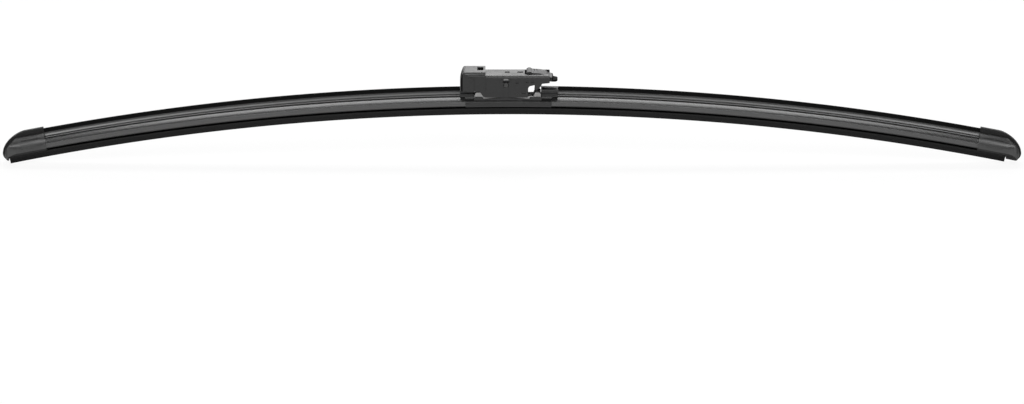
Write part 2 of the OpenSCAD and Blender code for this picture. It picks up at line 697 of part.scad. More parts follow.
module latch_spring() {
    steps = 16;
    sides = 8;
    z0 = bay_floor + spring_wire / 2;
    z1 = lever_under - spring_wire / 2;
    coil_r = (spring_d - spring_wire) / 2;
    count = spring_turns * steps;
    points = [for (i = [0:count], k = [0:sides - 1])
        let (a = 360 * i / steps, b = 360 * k / sides, r = coil_r + spring_wire / 2 * cos(b))
        [spring_x + r * cos(a), r * sin(a), z0 + (z1 - z0) * i / count + spring_wire / 2 * sin(b)]];
    skin = [for (i = [0:count - 1], k = [0:sides - 1])
        let (m = (k + 1) % sides)
        [i * sides + k, i * sides + m, (i + 1) * sides + m, (i + 1) * sides + k]];
    ends = [[for (k = [sides - 1:-1:0]) k], [for (k = [0:sides - 1]) count * sides + k]];
    color("silver") polyhedron(points, concat(skin, ends), convexity = 6);
}

// One side of the bracket: a low flange with a dip, and the ear that rises from it round the pin
ear_side = concat(
    [[flange_x0, spring_z + slot_h + 0.3], [flange_x0, -flange_drop - 0.8],
     [flange_x0 + 0.8, -flange_drop], [ear_x0, -flange_drop]],
    [for (a = [190:-20:-10]) pin + ear_r * [cos(a), sin(a)]],
    [[ear_x1, -flange_drop], [ear_x1 + 1, -dip_drop], [dip_x, -dip_drop], [dip_x + 1, -flange_drop],
     [flange_x1 - 0.8, -flange_drop], [flange_x1, -flange_drop - 0.8],
     [flange_x1, spring_z + slot_h + 0.3]]);

module bracket_claw(x0, x1) {
    draw = 0.05;
    top = foot_h - draw;
    under = slot_h + draw;
    inner = foot_out - sheet_t;
    for (side = [-1, 1])
        along_bow(x0, x1)
            polygon([[side * inner, top], [side * bracket_claw_out, top],
                     [side * bracket_claw_out, -foot_h], [side * claw_lip_in, -foot_h],
                     [side * claw_lip_in, -slot_h], [side * bracket_claw_in, -slot_h],
                     [side * bracket_claw_in, under], [side * inner, under]]);
}

module bracket() {
    hat_outer = [[foot_out, slot_h], [foot_out, foot_h], [web_in + sheet_t, foot_h],
                 [web_in + sheet_t, hat_h - 0.3], [web_in + sheet_t - 0.3, hat_h]];
    hat_inner = [[web_in, slot_h], [web_in, hat_h - sheet_t]];
    color("silver") difference() {
        union() {
            along_bow(bracket_x0, bracket_x1) polygon(channel(hat_outer, hat_inner));
            for (claw = bracket_claws) bracket_claw(claw[0], claw[1]);
            across(ear_in, ear_out) polygon(ear_side);
            across(-ear_out, -ear_in) polygon(ear_side);
        }
        bore(pin, pin_r + turn_fit / 2, -adapter_w, adapter_w);
        window_half = web_in - 0.3;
        for (x = window_x)
            translate([x, -window_half, spring_z]) cube([window_l, 2 * window_half, hat_h + over]);
    }
}

module pivot_pin() {
    half = adapter_w / 2 - 0.05;
    chamfer = 0.3;
    color("silver") translate([pin_x, 0, -pin_drop]) rotate([90, 0, 0])
        rotate_extrude($fn = bore_faces)
            polygon([[0, -half], [pin_r - chamfer, -half], [pin_r, -half + chamfer],
                     [pin_r, half - chamfer], [pin_r - chamfer, half], [0, half]]);
}

// Outer outline of the cover's skirt, up to its shoulder
skirt_half = concat([[cover_in, claw_bottom - 0.15], [cover_u, claw_bottom - 0.15]],
    bend([cover_u, 1], [cover_u - 0.15, shoulder_h - 0.2], [cover_u - 1.3, shoulder_h], 5));
cover_floor = foot_h + 0.05;

module cover_skirt() {
    for (side = [-1, 1])
        along_bow(cover_x0, cover_x1)
            polygon([for (p = concat(skirt_half, [[shoulder_in, shoulder_h], [shoulder_in, cover_floor],
                                                 [cover_in, cover_floor]])) [side * p[0], p[1]]]);
}

// Low rims under the housing's sides, peaked so that the housing can rock over them
rim_top = -skirt_drop - rim_play;
rim_foot = spring_z + shoulder_h - 0.4;
rim_side = [[left_block_x1 - 0.3, rim_foot], [left_block_x1 - 0.3, rim_top], [rim_x[0] - 0.7, rim_top],
            [rim_x[0], rim_top - rock_slope * (pin_x - rim_x[0])],
            [pin_x, rim_top], [rim_x[1], rim_top - rock_slope * (rim_x[1] - pin_x)],
            [rim_x[1] + 0.7, rim_top], [right_block_x0 + 0.3, rim_top], [right_block_x0 + 0.3, rim_foot]];

module cover_rims() {
    inner = shoulder_in + push_fit / 2;
    outer = cover_u - 1.2;
    across(inner, outer) polygon(rim_side);
    across(-outer, -inner) polygon(rim_side);
}

// Side and crowned top of a block, above the spoiler's base, with a bead along it
function block_upper(top_h, half) = concat(
    [[half - 0.3, base_h + push_fit / 2], [half, base_h + 0.4],
     [half, bead_h - 0.8], [half + 0.5, bead_h - 0.4], [half + 0.5, bead_h], [half, bead_h + 0.5]],
    bend([half, top_h - 1.8], [half, top_h - 0.9], [half - 0.8, top_h - 0.7], 3),
    bend([half - 1.3, top_h - 0.57], [half * 0.4, top_h], [half / 8, top_h], 6));
// The foot of a block, which spreads to the cover's shoulders
function block_foot(half) = concat(
    bend([cover_u - 1.3, shoulder_h], [half + 0.3, shoulder_h + 0.3], [half - 0.1, shoulder_h + 2.2], 5),
    [[half - 0.3, shoulder_h + 2.3]]);

// A block that closes the gap in the spoiler; its ends lie over the ends of the spoiler's base
module cover_block(x0, x1, top_h, half) {
    tunnel = [[cover_u - 1.3, cover_floor], [web_in + sheet_t + push_fit, cover_floor],
              [web_in + sheet_t + push_fit, hat_h + push_fit]];
    along_bow(x0, x1) polygon(both_sides(block_upper(top_h, half)));
    along_bow(max(x0, cover_x0) + push_fit, min(x1, cover_x1) - push_fit)
        polygon(channel(block_foot(half), tunnel));
}

module base_cover() {
    half = block_w / 2;
    color([0.24, 0.24, 0.25]) {
        cover_skirt();
        cover_rims();
        cover_block(left_block_x0, left_block_x1, left_block_h, half);
        cover_block(right_block_x0, right_block_x1, right_block_h, half);
    }
}

adapter_housing();
latch_lever();
latch_spring();
bracket();
pivot_pin();
base_cover();
rail(-1);  // rail_front
rail(1);  // rail_rear
rubber_element();
spoiler_base(-spoiler_x, cover_x0 - push_fit / 2);  // spoiler_base_left
spoiler_base(cover_x1 + push_fit / 2, spoiler_x);  // spoiler_base_right
spoiler_fin(-spoiler_x, fin_gap[0]);  // spoiler_fin_left
spoiler_fin(fin_gap[1], spoiler_x);  // spoiler_fin_right
mirror([1, 0, 0]) end_cap(rubber_inset_left);  // end_cap_left
end_cap(rubber_inset_right);  // end_cap_right
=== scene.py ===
"""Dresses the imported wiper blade: extruded sections, rounded mouldings, materials, camera and studio."""
import math

import bmesh
import bpy
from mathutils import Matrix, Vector


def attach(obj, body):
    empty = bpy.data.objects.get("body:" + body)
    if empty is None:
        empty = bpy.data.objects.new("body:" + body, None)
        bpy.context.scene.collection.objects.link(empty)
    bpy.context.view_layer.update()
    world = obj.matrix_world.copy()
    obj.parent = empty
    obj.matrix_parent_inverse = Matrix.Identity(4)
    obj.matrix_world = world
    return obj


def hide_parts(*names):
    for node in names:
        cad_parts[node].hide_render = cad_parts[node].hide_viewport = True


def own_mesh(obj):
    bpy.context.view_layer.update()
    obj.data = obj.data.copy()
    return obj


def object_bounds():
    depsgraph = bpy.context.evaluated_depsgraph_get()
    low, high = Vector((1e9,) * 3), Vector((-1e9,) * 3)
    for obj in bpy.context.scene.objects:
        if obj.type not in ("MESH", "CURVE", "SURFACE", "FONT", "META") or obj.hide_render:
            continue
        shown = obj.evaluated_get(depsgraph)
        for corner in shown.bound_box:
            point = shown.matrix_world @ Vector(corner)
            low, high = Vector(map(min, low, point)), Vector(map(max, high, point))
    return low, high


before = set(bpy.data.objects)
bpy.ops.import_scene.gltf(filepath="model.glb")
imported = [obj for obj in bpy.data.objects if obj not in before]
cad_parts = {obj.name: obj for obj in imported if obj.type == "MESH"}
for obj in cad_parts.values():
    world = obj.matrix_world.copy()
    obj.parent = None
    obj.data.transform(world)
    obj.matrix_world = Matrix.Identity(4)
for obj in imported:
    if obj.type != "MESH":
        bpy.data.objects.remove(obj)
CAD_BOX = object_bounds()

# Sizes and places on the object are in millimetres, and MM makes metres of them
MM = 0.001

# The bow, and the rails' plane below the arm seat
BOW_RADIUS = 1475.0
RAIL_PLANE_Z = -17.65

# Where the extruded pieces begin and end along the blade, and how far apart their stations lie
SIDES = ("left", "right")
TIP_X = 300.0
SPOILER_END = TIP_X - 14.0
BASE_SPANS = {"left": (-SPOILER_END, -27.35), "right": (23.25, SPOILER_END)}
FIN_SPANS = {"left": (-SPOILER_END, -30.35), "right": (26.85, SPOILER_END)}
RUBBER_SPAN = (-TIP_X + 3.2, TIP_X - 8.6)
STATION_PITCH = 5.0

# Sections: half widths from the middle, and heights above the rails' plane

# Half the height of the slots for the rails, and the most of a side that a rounded corner takes
RAIL_SLOT = 0.5
CORNER_SHARE = 0.45

# The rubber's head, the neck between the rails, and the bar under them
HEAD_HALF, HEAD_TOP, HEAD_CORNER = 2.3, 1.75, 0.4
NECK_HALF = 1.05
BAR_HALF, BAR_BOTTOM, BAR_CORNER = 3.4, -1.9, 0.4

# The rubber's thin web, and the wedge with its shoulder, waist and lip
WEB_HALF = 0.45
SHOULDER_HALF, SHOULDER_TOP = 2.9, -3.3
SHOULDER_EDGE = [(-0.2, -0.6), (0.0, -0.45), (0.0, -0.1), (-0.3, 0.0)]
WAIST = (0.85, SHOULDER_TOP - 1.2)
LIP_HALF, LIP = 0.4, -7.95
RUBBER_CORNER = 0.12

# The spoiler's base: its claw round the rails, its roof over the rubber's head, and its flared side
CLAW_OUT, CLAW_IN, CLAW_LIP_IN, CLAW_BOTTOM = 7.3, 5.9, 4.7, -1.35
CLAW_CHAMFER = (0.5, 0.6)
ROOF_HALF, ROOF, HEAD_ROOM = 4.5, 2.0, 0.2
BASE_SIDE, BASE_TOP, BASE_TOP_HALF = 1.75, 3.5, 2.5
FLARE_PULL = (2.75, 0.5)
BASE_CORNER = 0.16

# The fin: the groove that holds it, its foot, its hollow flank and its round top
GROOVE_HALF, GROOVE_TOP = 1.75, 4.15
FOOT_HALF, FOOT_UNDERCUT, FOOT_EDGE = 2.6, 0.25, (0.15, 0.3)
FIN_HALF, FIN_TOP, FIN_ROUND = 0.8, 9.25, 0.53
FLANK_PULL, FLANK_END = (0.3, 1.0), 1.0
FIN_CORNER = 0.08

# Where the finish changes, on the sections and the caps; the claw's foot and the caps' ridge and lower band
# have painted shade
CLAW_SHADE_BELOW = -0.77
FIN_DULL_ABOVE = 7.0
CAP_SHADE_WITHIN, CAP_SHADE_BELOW = 2.0, -1.02

# Where the finish changes, on the adapter and its lever, with painted shade in the slot over the pin and
# painted highlights on the brow and the top edges; boxes are (x0, x1, z0, z1) on the side
NOSE_END, NOSE_STOP = -29.0, -15.6
SIDE_HALF, TOP_FLAT, TOP_EDGE_LOW = 7.6, 5.2, -2.0
PIN_SLOT = (-5.6, -1.4, -4.45, -3.6)
BROW = (-4.8, -2.2, -3.7, -1.8)
SKIN = 0.05
GRIP_START = 23.5

# The latch spring: its place, its lowest and highest point, and its wire
SPRING_X, SPRING_Z = 11.3, (-4.9, -1.9)
SPRING_D, SPRING_WIRE, SPRING_TURNS = 3.6, 0.4, 3
WIRE_STEPS, WIRE_SIDES = 28, 12

# Rounded edges: their width on mouldings and on pressed steel, and the angle above which an edge is rounded
MOULD_EDGE, PRESSED_EDGE, CAP_EDGE = 0.14, 0.1, 0.0
EDGE_ANGLE = 28.0
EDGE_SEGMENTS = 2

# Facets that turn by less than LEVEL_ANGLE are one face, and points nearer than WELD are one point
LEVEL_ANGLE = 0.4
WELD = 0.002
SMOOTH_ANGLE = 32.0
FACE_WEIGHT = 80

# The places in a piece's list of materials: satin; dull finishes and painted shade; the brow's painted
# highlight; the top edges' painted highlight
SATIN, DULL_AND_SHADE, BROW_HIGHLIGHT, EDGE_HIGHLIGHT = range(4)


# Points and outlines


def bow_point(x, h, u):
    """A point of the blade, x along, h above the rails and u across, in metres."""
    a = math.asin(x / BOW_RADIUS)
    r = BOW_RADIUS + h
    return Vector((r * math.sin(a), u, RAIL_PLANE_Z - BOW_RADIUS + r * math.cos(a))) * MM


def section_place(point):
    """Where a point of the object, in metres, lies in the blade's section, as (u, h) in millimetres."""
    from_centre = Vector((point.x / MM, point.z / MM - RAIL_PLANE_Z + BOW_RADIUS))
    return abs(point.y / MM), from_centre.length - BOW_RADIUS


def bend(p, c, q, steps):
    """Points on a curve from p to q that bends towards c."""
    points = []
    for i in range(steps + 1):
        t = i / steps
        points.append(tuple((1 - t) ** 2 * p[k] + 2 * t * (1 - t) * c[k] + t * t * q[k] for k in (0, 1)))
    return points


def softened(points, cut, steps=4, sharp=15.0):
    """Rounds every corner of a closed outline that turns by more than sharp degrees."""
    out = []
    for i, corner in enumerate(points):
        p = Vector(corner)
        back, ahead = Vector(points[i - 1]) - p, Vector(points[(i + 1) % len(points)]) - p
        turn = 180.0 - math.degrees(back.angle(ahead))
        if turn < sharp:
            out.append(corner)
            continue
        reach = min(cut, CORNER_SHARE * back.length, CORNER_SHARE * ahead.length)
        start, end = p + back.normalized() * reach, p + ahead.normalized() * reach
        out += bend(tuple(start), corner, tuple(end), steps)
    return out


def both_sides(half):
    """A closed outline from its right half, which runs from the bottom to the top."""
    return half + [(-u, h) for u, h in reversed(half)]


def channel(outer, inner):
    """A closed outline that is open below, from the right halves of its outside and its inside."""
    return both_sides(outer) + [(-u, h) for u, h in inner] + list(reversed(inner))


# Sections, as [(u, h)]


def base_section():
    outer = [(CLAW_LIP_IN, CLAW_BOTTOM), (CLAW_OUT - CLAW_CHAMFER[0], CLAW_BOTTOM)]
    outer += [(CLAW_OUT, CLAW_BOTTOM + CLAW_CHAMFER[1])]
    pull = (CLAW_OUT - FLARE_PULL[0], BASE_SIDE + FLARE_PULL[1])
    outer += bend((CLAW_OUT, BASE_SIDE), pull, (BASE_TOP_HALF, BASE_TOP), steps=16)
    inner = [(CLAW_LIP_IN, -RAIL_SLOT), (CLAW_IN, -RAIL_SLOT), (CLAW_IN, RAIL_SLOT)]
    inner += [(ROOF_HALF, RAIL_SLOT), (HEAD_HALF + HEAD_ROOM, ROOF)]
    return softened(channel(outer, inner), BASE_CORNER)


def fin_section():
    half = [(GROOVE_HALF, BASE_TOP), (GROOVE_HALF, GROOVE_TOP - FOOT_UNDERCUT), (FOOT_HALF, GROOVE_TOP)]
    foot = (FOOT_HALF - FOOT_EDGE[0], GROOVE_TOP + FOOT_EDGE[1])
    pull = (FIN_HALF + FLANK_PULL[0], GROOVE_TOP + FLANK_PULL[1])
    half += bend(foot, pull, (FIN_HALF, FIN_TOP - FLANK_END), steps=18)
    top = (FIN_HALF - FIN_ROUND, FIN_TOP)
    half += bend((FIN_HALF, FIN_TOP - FIN_ROUND), (FIN_HALF, FIN_TOP), top, steps=6)
    return softened(both_sides(half), FIN_CORNER)


def rubber_section():
    shoulder = [(SHOULDER_HALF + u, SHOULDER_TOP + h) for u, h in SHOULDER_EDGE]
    half = bend((LIP_HALF, LIP), WAIST, shoulder[0], steps=14) + shoulder[1:]
    half += [(WEB_HALF, SHOULDER_TOP), (WEB_HALF, BAR_BOTTOM)]
    half += [(BAR_HALF - BAR_CORNER, BAR_BOTTOM), (BAR_HALF, BAR_BOTTOM + BAR_CORNER)]
    half += [(BAR_HALF, -RAIL_SLOT), (NECK_HALF, -RAIL_SLOT)]
    half += [(NECK_HALF, RAIL_SLOT), (HEAD_HALF, RAIL_SLOT)]
    half += [(HEAD_HALF, HEAD_TOP - HEAD_CORNER), (HEAD_HALF - HEAD_CORNER, HEAD_TOP)]
    return softened(both_sides(half), RUBBER_CORNER)


# Finishes: which of a piece's materials a face has, from the place of its middle, in metres


def base_finish(place):
    """The claw's foot is darker and duller: painted shade."""
    return DULL_AND_SHADE if section_place(place)[1] < CLAW_SHADE_BELOW else SATIN


def fin_finish(place):
    """The fin's tip is dull."""
    return DULL_AND_SHADE if section_place(place)[1] > FIN_DULL_ABOVE else SATIN


def cap_finish(place):
    """The cap's ridge and its band below the waist are darker and duller: painted shade."""
    u, h = section_place(place)
    return DULL_AND_SHADE if u < CAP_SHADE_WITHIN or h < CAP_SHADE_BELOW else SATIN


def within(box, x, z):
    return box[0] < x < box[1] and box[2] < z < box[3]


def housing_finish(place):
    """The nose's end is dull; the slot over the pin is dark with painted shade; the brow is pale with a
    painted highlight; the rounded top edges are lighter and glossy, a painted highlight.
    """
    x, y, z = place.x / MM, abs(place.y / MM), place.z / MM
    # The slot over the pin is darkened as painted shade; the nose's end is dull
    if x < NOSE_END or (within(PIN_SLOT, x, z) and y < SIDE_HALF - SKIN):
        return DULL_AND_SHADE
    # The brow is painted pale as a painted highlight
    if within(BROW, x, z) and y > SIDE_HALF + SKIN:
        return BROW_HIGHLIGHT
    # The rounded top edges get a lighter, glossier plastic as a painted highlight
    if y > TOP_FLAT and z > TOP_EDGE_LOW and (x < NOSE_STOP or y < SIDE_HALF):
        return EDGE_HIGHLIGHT
    return SATIN


def lever_finish(place):
    """The finger tab is dull."""
    return DULL_AND_SHADE if place.x > GRIP_START * MM else SATIN


# Meshes


def paint(bm, finish):
    for face in bm.faces:
        face.material_index = finish(face.calc_center_median())


def skin_between(bm, rings):
    """Joins rings of points into a closed tube, and returns its side faces, a list for each stretch."""
    rows = []
    for first, second in zip(rings, rings[1:]):
        row = []
        for i in range(len(first)):
            j = (i + 1) % len(first)
            row.append(bm.faces.new((first[i], first[j], second[j], second[i])))
        rows.append(row)
    bm.faces.new(list(reversed(rings[0])))
    bm.faces.new(rings[-1])
    return rows


def finished_mesh(bm, name, finish=None):
    """Turns the faces outwards, paints them and makes the mesh."""
    bmesh.ops.recalc_face_normals(bm, faces=bm.faces)
    if finish is not None:
        paint(bm, finish)
    mesh = bpy.data.meshes.new(name)
    bm.to_mesh(mesh)
    bm.free()
    return mesh


def stand_in(name, mesh, node, body):
    """A piece that takes the place of a CAD node."""
    obj = bpy.data.objects.new(name, mesh)
    bpy.context.scene.collection.objects.link(obj)
    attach(obj, body)
    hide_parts(node)
    return obj


def shade(obj, angle=SMOOTH_ANGLE):
    """Smooth shading that keeps flat faces flat."""
    obj.data.shade_smooth()
    obj.data.set_sharp_from_angle(angle=math.radians(angle))
    modifier = obj.modifiers.new("weighted normals", "WEIGHTED_NORMAL")
    modifier.keep_sharp = True
    modifier.weight = FACE_WEIGHT


def round_edges(obj, width):
    bevel = obj.modifiers.new("rounded edges", "BEVEL")
    bevel.width = width * MM
    bevel.segments = EDGE_SEGMENTS
    bevel.limit_method = "ANGLE"
    bevel.angle_limit = math.radians(EDGE_ANGLE)


def swept(name, section, span, node, body, finish=None):
    """Carries a section along the bow over a span of x, with its length and girth as UV, in metres."""
    stations = max(2, round((span[1] - span[0]) / STATION_PITCH))
    places = [span[0] + (span[1] - span[0]) * k / stations for k in range(stations + 1)]
    girth = [0.0]
    for i, point in enumerate(section):
        girth.append(girth[-1] + math.dist(point, section[(i + 1) % len(section)]))
    bm = bmesh.new()
    uv = bm.loops.layers.uv.new("along")
    rings = [[bm.verts.new(bow_point(x, h, u)) for u, h in section] for x in places]
    for k, row in enumerate(skin_between(bm, rings)):
        near, far = places[k] * MM, places[k + 1] * MM
        for i, face in enumerate(row):
            low, high = girth[i] * MM, girth[i + 1] * MM
            for loop, spot in zip(face.loops, ((near, low), (near, high), (far, high), (far, low))):
                loop[uv].uv = spot
    obj = stand_in(name, finished_mesh(bm, name, finish), node, body)
    shade(obj)
    return obj


def moulded(name, node, body, edge, finish=None, cuts=()):
    """A copy of a CAD node with rounded edges of this width, or with its own edges if the width is 0.

    Its level faces are merged first, and cut at each x of cuts, where the finish changes.
    """
    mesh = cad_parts[node].data.copy()
    mesh.name = name
    mesh.materials.clear()
    bm = bmesh.new()
    bm.from_mesh(mesh)
    bmesh.ops.remove_doubles(bm, verts=bm.verts, dist=WELD * MM)
    level = math.radians(LEVEL_ANGLE)
    bmesh.ops.dissolve_limit(bm, angle_limit=level, verts=bm.verts, edges=bm.edges, delimit={"SHARP"})
    for x in cuts:
        geometry = bm.verts[:] + bm.edges[:] + bm.faces[:]
        bmesh.ops.bisect_plane(bm, geom=geometry, plane_co=(x * MM, 0.0, 0.0), plane_no=(1.0, 0.0, 0.0))
    if finish is not None:
        paint(bm, finish)
    bm.to_mesh(mesh)
    bm.free()
    obj = stand_in(name, mesh, node, body)
    if edge:
        round_edges(obj, edge)
    shade(obj, EDGE_ANGLE)
    return obj


def coiled(name, node, body):
    """The latch spring's round wire, wound about a line along Z."""
    wire_r = SPRING_WIRE / 2
    coil_r = SPRING_D / 2 - wire_r
    low, high = SPRING_Z[0] + wire_r, SPRING_Z[1] - wire_r
    bm = bmesh.new()
    rings = []
    for i in range(SPRING_TURNS * WIRE_STEPS + 1):
        a = math.tau * i / WIRE_STEPS
        z = low + (high - low) * i / (SPRING_TURNS * WIRE_STEPS)
        ring = []
        for k in range(WIRE_SIDES):
            b = math.tau * k / WIRE_SIDES
            r = coil_r + wire_r * math.cos(b)
            place = Vector((SPRING_X + r * math.cos(a), r * math.sin(a), z + wire_r * math.sin(b)))
            ring.append(bm.verts.new(place * MM))
        rings.append(ring)
    skin_between(bm, rings)
    obj = stand_in(name, finished_mesh(bm, name), node, body)
    shade(obj)
    return obj


# Materials

# Nearly all of a noise texture lies in this span
NOISE_SPAN = (0.3, 0.7)
EVEN = (1.0, 1.0, 1.0)


def grey(tone, warm=0.0):
    return (tone * (1 + warm), tone, tone * (1 - warm))


def joined(tree, operation, first, second=None):
    """A Math node on one or two values."""
    made = tree.nodes.new("ShaderNodeMath")
    made.operation = operation
    tree.links.new(first, made.inputs[0])
    if second is not None:
        tree.links.new(second, made.inputs[1])
    return made.outputs["Value"]


class Shader:
    """A material's node tree, with short calls for the nodes that repeat."""

    def __init__(self, name, tone, roughness, specular=0.5, metallic=0.0):
        self.material = bpy.data.materials.new(name)
        self.material.use_nodes = True
        self.tree = self.material.node_tree
        self.surface = self.tree.nodes["Principled BSDF"]
        self.surface.inputs["Base Color"].default_value = (*grey(tone), 1.0)
        self.surface.inputs["Roughness"].default_value = roughness
        self.surface.inputs["Specular IOR Level"].default_value = specular
        self.surface.inputs["Metallic"].default_value = metallic

    def node(self, kind):
        return self.tree.nodes.new(kind)

    def link(self, out, into):
        self.tree.links.new(out, into)

    def coordinates(self, kind="Object", scale=EVEN):
        """Object or UV coordinates, in metres, times scale."""
        source = self.node("ShaderNodeTexCoord")
        mapping = self.node("ShaderNodeMapping")
        mapping.inputs["Scale"].default_value = scale
        self.link(source.outputs[kind], mapping.inputs["Vector"])
        return mapping.outputs["Vector"]

    def noise(self, place, scale, detail=3.0, roughness=0.5):
        made = self.node("ShaderNodeTexNoise")
        made.inputs["Scale"].default_value = scale
        made.inputs["Detail"].default_value = detail
        made.inputs["Roughness"].default_value = roughness
        self.link(place, made.inputs["Vector"])
        return made.outputs["Fac"]

    def ranged(self, noise, low, high):
        """A noise spread from low to high."""
        made = self.node("ShaderNodeMapRange")
        made.inputs["From Min"].default_value = NOISE_SPAN[0]
        made.inputs["From Max"].default_value = NOISE_SPAN[1]
        made.inputs["To Min"].default_value = low
        made.inputs["To Max"].default_value = high
        self.link(noise, made.inputs["Value"])
        return made.outputs["Result"]

    def mottle(self, noise, first, second):
        """A base colour between two, as the noise goes."""
        made = self.node("ShaderNodeMix")
        made.data_type = "RGBA"
        self.link(self.ranged(noise, 0.0, 1.0), made.inputs["Factor"])
        made.inputs["A"].default_value = (*first, 1.0)
        made.inputs["B"].default_value = (*second, 1.0)
        self.link(made.outputs["Result"], self.surface.inputs["Base Color"])

    def polish(self, noise, low, high):
        """A roughness between two, as the noise goes."""
        self.link(self.ranged(noise, low, high), self.surface.inputs["Roughness"])

    def bump(self, height, depth, strength, under=None):
        """A relief of this depth, over another where under is given."""
        made = self.node("ShaderNodeBump")
        made.inputs["Distance"].default_value = depth * MM
        made.inputs["Strength"].default_value = strength
        self.link(height, made.inputs["Height"])
        if under is not None:
            self.link(under, made.inputs["Normal"])
        return made.outputs["Normal"]

    def relief(self, normal):
        self.link(normal, self.surface.inputs["Normal"])


def moulded_plastic(name, tone, roughness, specular):
    """Injection-moulded plastic with a fine eroded grain and faint flow marks."""
    shader = Shader(name, tone, roughness, specular)
    place = shader.coordinates()
    grain = shader.noise(place, scale=5200.0, detail=2.0)
    flow = shader.noise(place, scale=90.0)
    shader.mottle(flow, grey(tone * 0.88), grey(tone * 1.12))
    shader.polish(flow, roughness - 0.05, roughness + 0.06)
    shader.relief(shader.bump(grain, depth=0.02, strength=0.6))
    return shader.material


def extruded(name, tone, roughness, specular, line_depth):
    """Extruded plastic or rubber: fine lines that run along the blade."""
    shader = Shader(name, tone, roughness, specular)
    drawn = shader.coordinates("UV", (6.0, 2400.0, 1.0))
    lines = shader.noise(drawn, scale=1.0, detail=4.0, roughness=0.6)
    place = shader.coordinates()
    cloud = shader.noise(place, scale=60.0)
    grain = shader.noise(place, scale=3800.0, detail=1.0)
    shader.mottle(cloud, grey(tone * 0.9), grey(tone * 1.1))
    shader.polish(lines, roughness - 0.04, roughness + 0.05)
    lined = shader.bump(lines, depth=line_depth, strength=0.7)
    shader.relief(shader.bump(grain, depth=0.006, strength=0.4, under=lined))
    return shader.material


def wiping_rubber(name):
    """Black rubber with a dull graphite coat that is patchy along the lip."""
    shader = Shader(name, tone=0.01, roughness=0.7, specular=0.14)
    drawn = shader.coordinates("UV", (25.0, 1500.0, 1.0))
    streaks = shader.noise(drawn, scale=1.0, detail=5.0, roughness=0.65)
    shader.mottle(streaks, grey(0.007), grey(0.015))
    shader.polish(streaks, 0.62, 0.78)
    grain = shader.noise(shader.coordinates(), scale=6000.0, detail=2.0)
    shader.relief(shader.bump(grain, depth=0.012, strength=0.5))
    return shader.material


def plated_steel(name, tone, roughness, stretch):
    """Zinc-plated or drawn steel with rolling lines and a cloudy bloom."""
    shader = Shader(name, tone, roughness, metallic=1.0)
    lines = shader.noise(shader.coordinates("Object", stretch), scale=1.0, detail=4.0, roughness=0.6)
    cloud = shader.noise(shader.coordinates(), scale=220.0)
    shader.mottle(cloud, grey(tone * 0.82, warm=0.01), grey(tone))
    shader.polish(lines, roughness - 0.08, roughness + 0.1)
    shader.relief(shader.bump(lines, depth=0.01, strength=0.5))
    return shader.material


def painted_rail(name):
    """Thin black paint over the rolling lines of spring steel."""
    shader = Shader(name, tone=0.03, roughness=0.38)
    lines = shader.noise(shader.coordinates("Object", (4.0, 900.0, 900.0)), scale=1.0)
    shader.mottle(lines, grey(0.022), grey(0.04))
    shader.relief(shader.bump(lines, depth=0.008, strength=0.5))
    return shader.material


# Rolling lines along the blade, and the even grain of turned and drawn steel
ROLLED = (20.0, 1400.0, 1400.0)
DRAWN = (900.0, 900.0, 900.0)

MATERIALS = {
    "adapter": moulded_plastic("adapter plastic", tone=0.01, roughness=0.32, specular=0.5),
    # The rounded top edges: a lighter, glossier copy of the adapter plastic, as a painted highlight
    "adapter edge highlight": moulded_plastic("adapter's top edges, painted highlight", tone=0.016, roughness=0.3, specular=1.0),
    # The nose's end is dull, and the slot over the pin is darkened with it as painted shade
    "adapter dull and shade": moulded_plastic("adapter's dull plastic and painted shade", tone=0.005, roughness=0.7, specular=0.1),
    # The brow: a far paler copy of the adapter plastic, as a painted highlight
    "adapter brow highlight": moulded_plastic("adapter's brow, painted highlight", tone=0.2, roughness=0.5, specular=0.5),
    "lever": moulded_plastic("lever plastic", tone=0.01, roughness=0.36, specular=0.4),
    "grip": moulded_plastic("lever's dull end", tone=0.004, roughness=0.75, specular=0.06),
    "cover": moulded_plastic("cover plastic", tone=0.014, roughness=0.42, specular=0.5),
    "cap": moulded_plastic("cap plastic", tone=0.022, roughness=0.4, specular=0.8),
    # The caps' ridge and lower band: a darker, duller copy of the cap plastic, as painted shade
    "cap shade": moulded_plastic("cap plastic, painted shade", tone=0.01, roughness=0.6, specular=0.3),
    "base": extruded("spoiler plastic", tone=0.028, roughness=0.28, specular=1.0, line_depth=0.01),
    # The claw's foot: a darker, duller copy of the spoiler plastic, as painted shade
    "base foot shade": extruded("spoiler plastic, painted shade on the foot", tone=0.012, roughness=0.6, specular=0.35,
                          line_depth=0.01),
    "fin": extruded("fin rubber flank", tone=0.018, roughness=0.32, specular=1.0, line_depth=0.012),
    "fin tip": extruded("fin rubber tip", tone=0.004, roughness=0.8, specular=0.08, line_depth=0.012),
    "rubber": wiping_rubber("wiping rubber"),
    "steel": plated_steel("plated steel", tone=0.36, roughness=0.36, stretch=ROLLED),
    "pin": plated_steel("pin steel", tone=0.09, roughness=0.42, stretch=DRAWN),
    "wire": plated_steel("spring wire", tone=0.55, roughness=0.28, stretch=DRAWN),
    "rail": painted_rail("painted rail"),
}


def dress(obj, slot, *names):
    """Gives a piece its materials: satin, then dull and painted shade, then the painted highlights; slot is
    not used.
    """
    for name in names:
        obj.data.materials.append(MATERIALS[name])


def redress(node, name):
    """Gives a CAD node a better material."""
    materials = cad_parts[node].data.materials
    materials.clear()
    materials.append(MATERIALS[name])


# Pieces


def spoiler_base(side):
    name, node = "spoiler_base_skin_" + side, "spoiler_base_" + side
    piece = swept(name, base_section(), BASE_SPANS[side], node, "blade", base_finish)
    # The foot's material is painted shade
    dress(piece, "spoiler_plastic", "base", "base foot shade")


